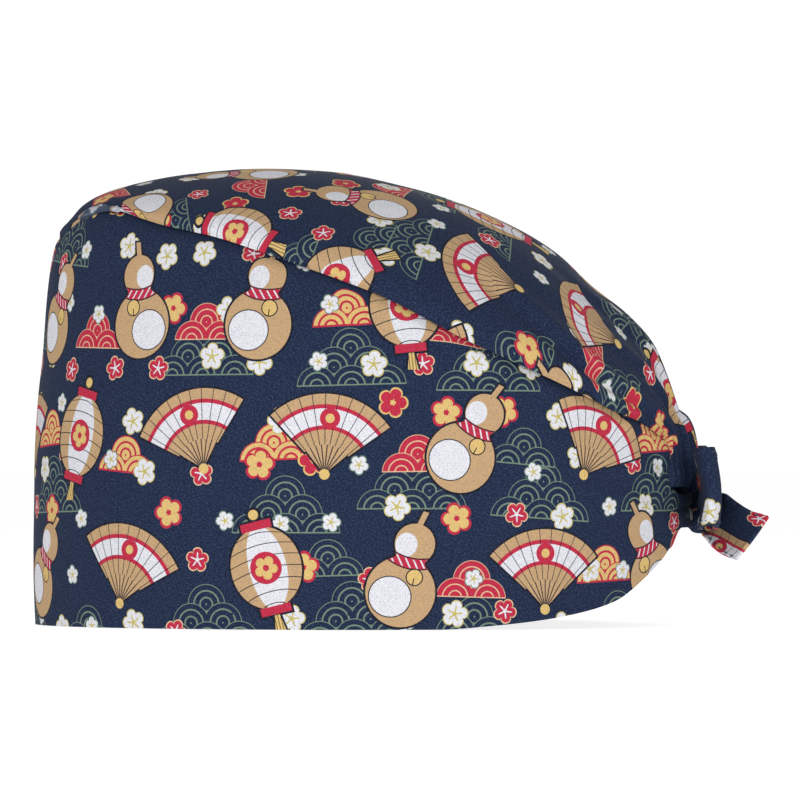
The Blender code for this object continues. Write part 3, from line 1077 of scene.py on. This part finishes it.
def paint_fan(cloth, x, y, shown):
    """A folding fan: pleated leaf in bands over its sticks, with a pivot."""
    y = y + 11.0
    reach = far_from(x, y)
    turn = x.work("ARCTAN2", y)
    spread = turn.size() * reach
    leaf = ((reach - 15.6).size() - 7.4).work("MAXIMUM", spread - reach * 0.86)
    sticks = (reach - 9.0).work("MAXIMUM", spread - reach * 0.74 - 0.4)
    stick = turn.from_repeat(0.20) * reach
    fold = (turn + 0.086).from_repeat(0.172) * reach
    disc = far_from(x, y - 15.9)
    wood = paint(ink("tan"), ink("black"), inside(stick - 0.16))
    bands = choose(
        reach / 30.0,
        (0.42, 0.04, 0.16, 0.04, 0.34),
        [ink(name) for name in ("tan", "red", "white", "red", "tan")],
    )
    bands = paint(bands, ink("black"), inside(fold - 0.11))
    cloth = paint(cloth, ink("black"), inside(leaf.work("MINIMUM", sticks) - 0.35) * shown)
    cloth = paint(cloth, wood, inside(sticks + 0.20) * shown)
    cloth = paint(cloth, bands, inside(leaf + 0.25) * shown)
    return paint_shapes(
        cloth, shown,
        ("red", inside(disc - 2.9)),
        ("gold", inside(disc - 1.3)),
        ("gold", inside(reach - 1.5)),
    )


def paint_gourd(cloth, x, y, shown):
    """A bottle gourd with a pale belly, a red cord round its waist and a gold bell."""
    bulge = far_from(x, y + 5.6) - 10.2
    body = (far_from(x - 0.6, y - 8.6) - 6.0).work("SMOOTH_MIN", bulge, 3.4)
    lean = x - (y - 14.0) * 0.22 - 0.6
    stalk = (lean.size() - 1.1).work("MAXIMUM", (y - 16.2).size() - 2.2)
    whole = body.work("MINIMUM", stalk)
    belly = far_from(x + 2.6, (y + 7.6) / 0.95) - 6.2
    brow = far_from(x + 1.7, (y - 7.8) / 1.1) - 3.1
    cord = (y - 2.9 - x * x * 0.035).size()
    strand = (x + y * 0.8).from_repeat(2.3)
    bell_x, bell_y = x - 2.8, y + 0.6
    bell_reach = far_from(bell_x, bell_y)
    slot = (bell_x.size() - 0.16).work("MAXIMUM", (bell_y + 1.3).size() - 1.0)
    within = inside(body + 0.28)
    return paint_shapes(
        cloth, shown,
        ("black", inside(whole - 0.35)),
        ("tan", inside(whole + 0.28)),
        ("black", inside(belly) * within),
        ("white", inside(belly + 0.32) * within),
        ("white", inside(brow) * within),
        ("black", inside(cord - 1.75) * within),
        ("red", inside(cord - 1.4) * within),
        ("white", inside(strand - 0.28) * inside(cord - 1.2) * within),
        ("black", inside(bell_reach - 2.5)),
        ("gold", inside(bell_reach - 2.15)),
        ("black", inside(slot)),
    )


def weave_threads(x, y, length, width):
    """Unevenness of threads that run both ways, from 0 to 1."""
    tree = x.tree
    result = None
    slant = x + y * 0.45
    for along, across in ((slant, y), (y, slant)):
        noise = tree.nodes.new("ShaderNodeTexNoise")
        noise.noise_dimensions = "2D"
        noise.inputs["Scale"].default_value = 1.0
        noise.inputs["Detail"].default_value = 1.0
        place = joined(tree, along / length, across / width)
        tree.links.new(place, noise.inputs["Vector"])
        value = Value(tree, noise.outputs["Fac"])
        result = value if result is None else result.work("MAXIMUM", value)
    return result


def cut_place(tree):
    """Place on the flat cut of the cloth, in millimetres."""
    cut = tree.nodes.new("ShaderNodeUVMap")
    cut.uv_map = "cut"
    split = tree.nodes.new("ShaderNodeSeparateXYZ")
    tree.links.new(cut.outputs[0], split.inputs[0])
    return Value(tree, split.outputs[0]) * 1000.0, Value(tree, split.outputs[1]) * 1000.0


def loosened(here_x, here_y, chances, wander_x, wander_y, turn):
    """Moves and turns what a cell holds by its own chances."""
    here_x = here_x - (chances[1] - 0.5) * wander_x
    here_y = here_y - (chances[2] - 0.5) * wander_y
    return turned(here_x, here_y, (chances[1] - chances[2]) * turn)


def print_colour(x, y, waves, motifs):
    """The print on its navy ground: wave clusters where waves is true, blossoms everywhere,
    and lanterns, gourds and fans where motifs is true."""
    cloth = ink("navy")
    if waves:
        for shift, seed, wander, share, drop, counts, radius, kinds in WAVE_LAYERS:
            here_x, here_y, chances = cell(x + shift[0], y + shift[1], *MOTIF_CELL, seed)
            here_x, here_y = loosened(here_x, here_y, chances, *wander, 0.14)
            shown = chances[2].work("LESS_THAN", share)
            cloth = paint_waves(
                cloth, here_x, here_y + drop, counts, radius, kinds, chances[0], shown)
    shift = BLOSSOM_SHIFT
    here_x, here_y, chances = cell(x + shift[0], y + shift[1], *BLOSSOM_CELL, 5.0)
    cloth = paint_blossoms(cloth, here_x, here_y, BLOSSOMS, chances, BLOSSOM_WANDER)
    if motifs:
        here_x, here_y, chances = cell(x, y, *MOTIF_CELL, 1.0)
        here_x, here_y = loosened(here_x, here_y, chances, 6.0, 4.0, 0.85)
        mirrored = chances[2].work("GREATER_THAN", 0.5) * 2.0 - 1.0
        here_x, here_y = here_x * mirrored / MOTIF_SCALE, here_y / MOTIF_SCALE
        lantern = chances[0].work("GREATER_THAN", 0.66)
        above_fan = chances[0].work("GREATER_THAN", 0.30)
        cloth = paint_lantern(cloth, here_x, here_y, lantern)
        cloth = paint_gourd(cloth, here_x, here_y, above_fan - lantern)
        cloth = paint_fan(cloth, here_x, here_y, 1.0 - above_fan)
    return cloth


def new_material(name):
    """A new material with its nodes and its shader."""
    material = bpy.data.materials.new(name)
    material.use_nodes = True
    tree = material.node_tree
    return material, tree, tree.nodes["Principled BSDF"]


def cotton(name, shift_x, shift_y, reverse=0.0, waves=True, motifs=True):
    """Printed cotton. reverse is how far the print is lost, as on the cloth's wrong side."""
    material, tree, shader = new_material(name)
    x, y = cut_place(tree)
    x, y = x + shift_x, y + shift_y
    threads = weave_threads(x, y, FLECK_LENGTH, FLECK_WIDTH)
    colour = print_colour(x, y, waves, motifs)
    if reverse:
        colour = paint(colour, ink("reverse"), calculate(tree, "ADD", reverse, 0.0))
    # Painted light on the weave: the lighter thread blue is laid where the threads stand up as
    # a painted highlight, and the navy is laid where they sink as painted shade
    glint = threads.work("MULTIPLY_ADD", 7.0, -4.2, clamp=True) * 0.44
    colour = paint(colour, ink("thread_blue_and_glint"), glint)
    shade = threads.work("MULTIPLY_ADD", -7.0, 3.85, clamp=True) * 0.42
    colour = paint(colour, ink("navy"), shade)
    tree.links.new(colour, shader.inputs["Base Color"])
    bump = tree.nodes.new("ShaderNodeBump")
    bump.inputs["Strength"].default_value = 0.55
    bump.inputs["Distance"].default_value = 0.00018
    tree.links.new(threads.socket, bump.inputs["Height"])
    tree.links.new(bump.outputs[0], shader.inputs["Normal"])
    shader.inputs["Roughness"].default_value = 0.84
    shader.inputs["Specular IOR Level"].default_value = 0.08
    shader.inputs["Sheen Weight"].default_value = 0.02
    shader.inputs["Sheen Roughness"].default_value = 0.5
    return material


def thread_material():
    """Sewing thread: navy cotton with a slight gloss and a twist along each stitch."""
    material, tree, shader = new_material("sewing_thread")
    place = tree.nodes.new("ShaderNodeTexCoord")
    noise = tree.nodes.new("ShaderNodeTexNoise")
    noise.inputs["Scale"].default_value = 3000.0
    tree.links.new(place.outputs["Object"], noise.inputs["Vector"])
    strand = Value(tree, noise.outputs["Fac"]).work("MULTIPLY_ADD", 2.0, -0.2, clamp=True)
    colour = paint(ink("thread_blue_and_glint"), ink("navy"), strand)
    tree.links.new(colour, shader.inputs["Base Color"])
    shader.inputs["Roughness"].default_value = 0.55
    return material


def floor_material():
    """Pale studio floor, bright enough to lose most of the shadows on it."""
    material, _, shader = new_material("studio_floor")
    shader.inputs["Base Color"].default_value = (0.40, 0.40, 0.40, 1.0)
    shader.inputs["Roughness"].default_value = 0.9
    shader.inputs["Emission Color"].default_value = (1.0, 1.0, 1.0, 1.0)
    shader.inputs["Emission Strength"].default_value = 0.82
    return material


def place_piece(piece, node=None):
    """Puts a finished piece on the frame, in place of its solid where it has one."""
    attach(piece, "root")
    if node:
        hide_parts(node)


def add_cloth(name, node, sheet, facing, materials, wall, offset, rounding=0.0):
    """One piece of cloth in place of its solid, with the size and area of its flat cut."""
    points, cut = sheet
    piece = sheet_mesh(name, points, cut, facing, materials)
    give_wall(piece, wall, offset, rounding)
    place_piece(piece, node)
    flat, area = cut_size(cut)
    return piece, flat, min(area, flat[0] * flat[1])


def stitch_line(data, line, normals):
    """Adds a row of stitches along a line of points, each a short rounded bar."""
    run = length_along(line)
    start = STITCH_GAP
    while start + STITCH_LENGTH < run[-1] - STITCH_GAP:
        spots = []
        for target in (start, start + STITCH_LENGTH):
            index = max(i for i, value in enumerate(run) if value <= target)
            index = min(index, len(line) - 2)
            share = (target - run[index]) / max(run[index + 1] - run[index], 1e-9)
            spots.append((line[index].lerp(line[index + 1], share), normals[index]))
        (first, normal), (last, _) = spots
        along = (last - first).normalized()
        sideways = along.cross(normal).normalized()
        rings = []
        for way, size in ((0.0, 0.25), (0.15, 0.85), (0.5, 1.0), (0.85, 0.85), (1.0, 0.25)):
            middle = first.lerp(last, way) + normal * THREAD_RADIUS * (0.5 * size - 0.1)
            ring = []
            for turn in steps(0.0, math.tau, 6)[:-1]:
                offset = sideways * math.cos(turn) + normal * math.sin(turn)
                ring.append(data.verts.new(to_frame(middle + offset * THREAD_RADIUS * size)))
            rings.append(ring)
        for ring, after in zip(rings, rings[1:]):
            for k in range(6):
                data.faces.new((ring[k], ring[(k + 1) % 6], after[(k + 1) % 6], after[k]))
        data.faces.new(rings[0][::-1])
        data.faces.new(rings[-1])
        start += STITCH_LENGTH + STITCH_GAP


def sheet_normal(points, i, j):
    """Direction square to a grid of points at one of its points."""
    along = points[min(i + 1, len(points) - 1)][j] - points[max(i - 1, 0)][j]
    across = points[i][min(j + 1, len(points[0]) - 1)] - points[i][max(j - 1, 0)]
    return along.cross(across).normalized()


def add_topstitching(name, points, thread):
    """The stitches near both long edges of a ribbon, on both of its faces, as one piece."""
    data = bmesh.new()
    for column in (1, len(points[0]) - 2):
        for face in (-1.0, 1.0):
            normals = [sheet_normal(points, i, column) * face for i in range(len(points))]
            line = [row[column] + normal * FOLDED_CLOTH / 2
                    for row, normal in zip(points, normals)]
            stitch_line(data, line, normals)
    bmesh.ops.recalc_face_normals(data, faces=data.faces)
    for face in data.faces:
        face.smooth = True
    piece = finish_mesh(data, name, [thread])
    place_piece(piece)
    return piece


def make_knot(cloth):
    """The knot: ribbon wrapped over itself, with folds running round it."""
    data = bmesh.new()
    layer = data.loops.layers.uv.new("cut")
    bmesh.ops.create_uvsphere(data, u_segments=96, v_segments=72, radius=1.0)
    half_sizes = (KNOT_DEPTH / 2 + 0.0009, KNOT_WIDTH / 2 + 0.0004, KNOT_HEIGHT / 2 + 0.0010)
    base = knot_middle()
    base.x -= 0.0008
    places = {}
    for vertex in data.verts:
        shaped = [
            math.copysign(abs(value)**KNOT_SHAPE, value) * half
            for value, half in zip(vertex.co, half_sizes)
        ]
        limit = max(1.0, max(abs(value) / half for value, half in zip(shaped, half_sizes)))
        place = Vector(shaped) / limit
        wrap = math.atan2(place.z, place.x)
        line = place.y + 0.0012 * math.sin(wrap * 2 + 0.7) + 0.12 * place.z
        fold = 0.00050 * math.cos(line * 1500) + 0.00022 * math.cos(line * 3300 + 1.0)
        waist = 0.0006 * bell(place.z, 0.003)
        direction = Vector((place.x, 0.35 * place.y, place.z))
        if direction.length > 0:
            direction.normalize()
        place += direction * (fold - 0.0004 - waist)
        places[vertex] = (wrap * 0.006, line)
        vertex.co = to_frame(base + place)
    for face in data.faces:
        face.smooth = True
        for loop in face.loops:
            loop[layer].uv = places[loop.vert]
    bmesh.ops.recalc_face_normals(data, faces=data.faces)
    place_piece(finish_mesh(data, "bow_knot_wrap", [cloth]), "bow_knot")


def from_knot(point):
    """Direction from the knot's upright axis to a point of the bow."""
    middle = knot_middle()
    return Vector((point.x - middle.x, 0.2 * point.y, 0.0))


def add_ribbon(name, sheet, cloth, thread):
    """A loop or a tail of the bow in place of its solid, with its topstitching."""
    ribbon, flat, area = add_cloth(
        name + "_ribbon", name, sheet, from_knot, (cloth, cloth),
        FOLDED_CLOTH, 0.0, FOLD_ROUNDING)
    stitches = add_topstitching(name + "_stitches", sheet[0], thread)


def set_stage():
    """Pale floor, white surroundings, soft lights and the camera."""
    scene = bpy.context.scene
    select_only(make_floor())
    world = bpy.data.worlds.new("studio_white")
    scene.world = world
    world.use_nodes = True
    tree = world.node_tree
    background = tree.nodes["Background"]
    background.inputs["Color"].default_value = (1.0, 1.0, 1.0, 1.0)
    ray = tree.nodes.new("ShaderNodeLightPath")
    strength = Value(tree, ray.outputs["Is Camera Ray"]).work("MULTIPLY_ADD", 0.68, 0.37)
    tree.links.new(strength.socket, background.inputs["Strength"])
    scene.view_settings.view_transform = "Standard"

    # Columns: name, place, what it points at, side in metres, watts.
    lights = (
        ("key_light", (-0.55, -1.65, 0.80), (0.0, 0.0, 0.06), 0.9, 15.0),
        ("fill_light", (1.00, -1.45, 0.40), (0.0, 0.0, 0.06), 0.9, 6.5),
        ("back_light", (0.30, 1.40, 0.80), (0.0, 0.0, 0.06), 0.9, 6.0),
    )
    for name, place, target, side, watts in lights:
        lamp = bpy.data.lights.new(name, "AREA")
        lamp.shape = "SQUARE"
        lamp.size = side
        lamp.energy = watts
        light = bpy.data.objects.new(name, lamp)
        scene.collection.objects.link(light)
        light.location = place
        direction = Vector(target) - Vector(place)
        light.rotation_euler = direction.to_track_quat("-Z", "Y").to_euler()

    lens = bpy.data.cameras.new("product_camera")
    lens.lens = CAMERA_LENS
    lens.sensor_width = CAMERA_SENSOR
    lens.clip_start = 0.1
    lens.clip_end = 50.0
    camera = bpy.data.objects.new("product_camera", lens)
    scene.collection.objects.link(camera)
    camera.location = (CAMERA_BACK + FRONT_X, -CAMERA_DISTANCE, CAMERA_HEIGHT)
    camera.rotation_euler = (math.radians(90), 0.0, 0.0)
    scene.camera = camera


def make_floor():
    """A large flat floor under the cap."""
    for item in bpy.context.selected_objects:
        item.select_set(False)
    bpy.ops.mesh.primitive_plane_add(size=12.0, location=(0.0, 0.0, -0.0002))
    floor = bpy.context.active_object
    floor.name = "studio_floor"
    bpy.ops.object.transform_apply(location=True, rotation=False, scale=False)
    floor.data.materials.append(floor_material())
    return floor


def main():
    """Builds every piece of cloth, the stitches and the stage."""
    outer = cotton("printed_cotton", *PANEL_PRINT)
    reverse = cotton("printed_cotton_reverse", *PANEL_PRINT, REVERSE_LOSS)
    crown_outer = cotton("crown_cotton", *CROWN_PRINT)
    crown_reverse = cotton("crown_cotton_reverse", *CROWN_PRINT, REVERSE_LOSS)
    loop_cotton = cotton("ribbon_cotton", *LOOP_PRINT, waves=False, motifs=False)
    tail_cotton = cotton("ribbon_cotton_tail", *TAIL_PRINT, waves=False)
    casing_cotton = cotton("casing_cotton", *CASING_PRINT, waves=False, motifs=False)
    tie_cotton = cotton("tie_cotton", *PANEL_PRINT, motifs=False)
    thread = thread_material()

    panel, flat, area = add_cloth(
        "side_panel_cloth", "side_panel", side_panel_sheet(PANEL_COLUMNS, 72),
        outward, (outer, reverse), SINGLE_CLOTH, -1.0)

    crown, flat, area = add_cloth(
        "crown_cloth", "crown_panel", crown_sheet(150, 150, 44),
        outward, (crown_outer, crown_reverse), SINGLE_CLOTH, -1.0)

    casing, flat, area = add_cloth(
        "casing_cloth", "back_casing", casing_sheet(220, 12),
        outward, (casing_cotton, casing_cotton), FOLDED_CLOTH, -1.0, FOLD_ROUNDING)

    make_knot(loop_cotton)
    for word, side in (("left", NEAR_SIDE), ("right", FAR_SIDE)):
        tie, flat, area = add_cloth(
            "tie_" + word + "_band", "tie_" + word, tie_sheet(side, 60, 14),
            outward, (tie_cotton, tie_cotton), FOLDED_CLOTH, -1.0, FOLD_ROUNDING)
        add_ribbon("bow_loop_" + word, loop_sheet(side, 150, 16), loop_cotton, thread)
        add_ribbon("bow_tail_" + word, tail_sheet(side, 70, 20), tail_cotton, thread)

    set_stage()


main()
